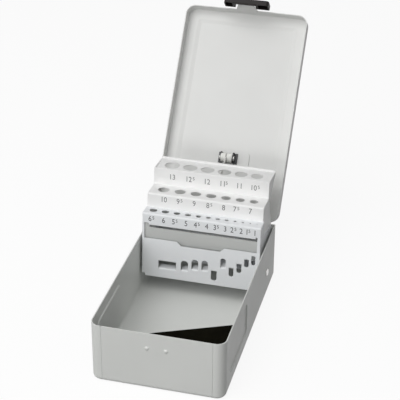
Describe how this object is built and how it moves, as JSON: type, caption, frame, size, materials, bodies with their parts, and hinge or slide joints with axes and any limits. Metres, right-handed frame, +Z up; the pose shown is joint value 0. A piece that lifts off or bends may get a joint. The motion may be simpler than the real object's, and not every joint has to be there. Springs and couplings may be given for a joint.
{
  "type": "hinged drill index case",
  "caption": "Sheet-steel drill index case with a hinged lid, a latch clip and a stepped drill rack that a link raises as the lid opens.",
  "frame": {"origin": "middle of the flat underside of the tray", "axes": "+X to the right seen from the front, +Y to the rear where the lid is hinged, +Z up"},
  "size_m": [0.1142, 0.3147, 0.2233],
  "materials": {
    "tray_paint": "satin light grey paint",
    "lid_paint": "satin pale grey paint",
    "tier_paint": "satin white paint",
    "rack_paint": "satin bluish light grey paint",
    "plated_steel": "zinc plated",
    "dark_steel": "blackened",
    "clip_plastic": "black moulded",
    "nylon": "natural nylon",
    "lining": "matt black sheet"
  },
  "bodies": {
    "tray": {"floor_pan": "tray_paint", "right_side_wall": "tray_paint", "left_side_wall": "tray_paint", "floor_lining": "lining", "hinge_pin": "plated_steel", "right_pivot_rivet": "plated_steel", "left_pivot_rivet": "plated_steel", "right_pivot_washer": "plated_steel", "left_pivot_washer": "plated_steel"},
    "lid": {"lid_shell": "lid_paint", "bracket_plate": "lid_paint", "right_link_cheek": "dark_steel", "left_link_cheek": "dark_steel", "link_pin": "plated_steel", "link_spacers": "nylon"},
    "rack": {"rack_front": "rack_paint", "rack_middle": "tier_paint", "rack_rear": "tier_paint", "guide_shelf": "rack_paint", "bottom_shelf": "rack_paint", "retainer_strip": "tray_paint", "rack_lug": "plated_steel", "lug_rivets": "plated_steel"},
    "lift_link": {"lift_link": "plated_steel", "link_rivet": "plated_steel"},
    "latch": {"latch_clip": "clip_plastic", "latch_pin": "plated_steel"}
  },
  "joints": [
    {"name": "lid_hinge", "type": "hinge", "parent": "tray", "child": "lid", "pos_m": [0, 0.0959, 0.055], "axis": [1, 0, 0], "range_deg": [0, 127.2]},
    {"name": "rack_fold", "type": "hinge", "parent": "tray", "child": "rack", "pos_m": [0, 0.06212, 0.0244], "axis": [1, 0, 0], "range_deg": [0, 94.5]},
    {"name": "link_pivot", "type": "hinge", "parent": "lid", "child": "lift_link", "pos_m": [0.0012, 0.13094, 0.0962], "axis": [1, 0, 0], "range_deg": [-123.1, 0]},
    {"name": "latch_hinge", "type": "hinge", "parent": "lid", "child": "latch", "pos_m": [0, 0.20528, 0.21691], "axis": [1, 0, 0], "range_deg": [-80, 8]}
  ],
  "couplings": [
    {"joint": "rack_fold", "follows": "lid_hinge", "ratio": 0.74292},
    {"joint": "link_pivot", "follows": "lid_hinge", "ratio": -0.96768}
  ]
}
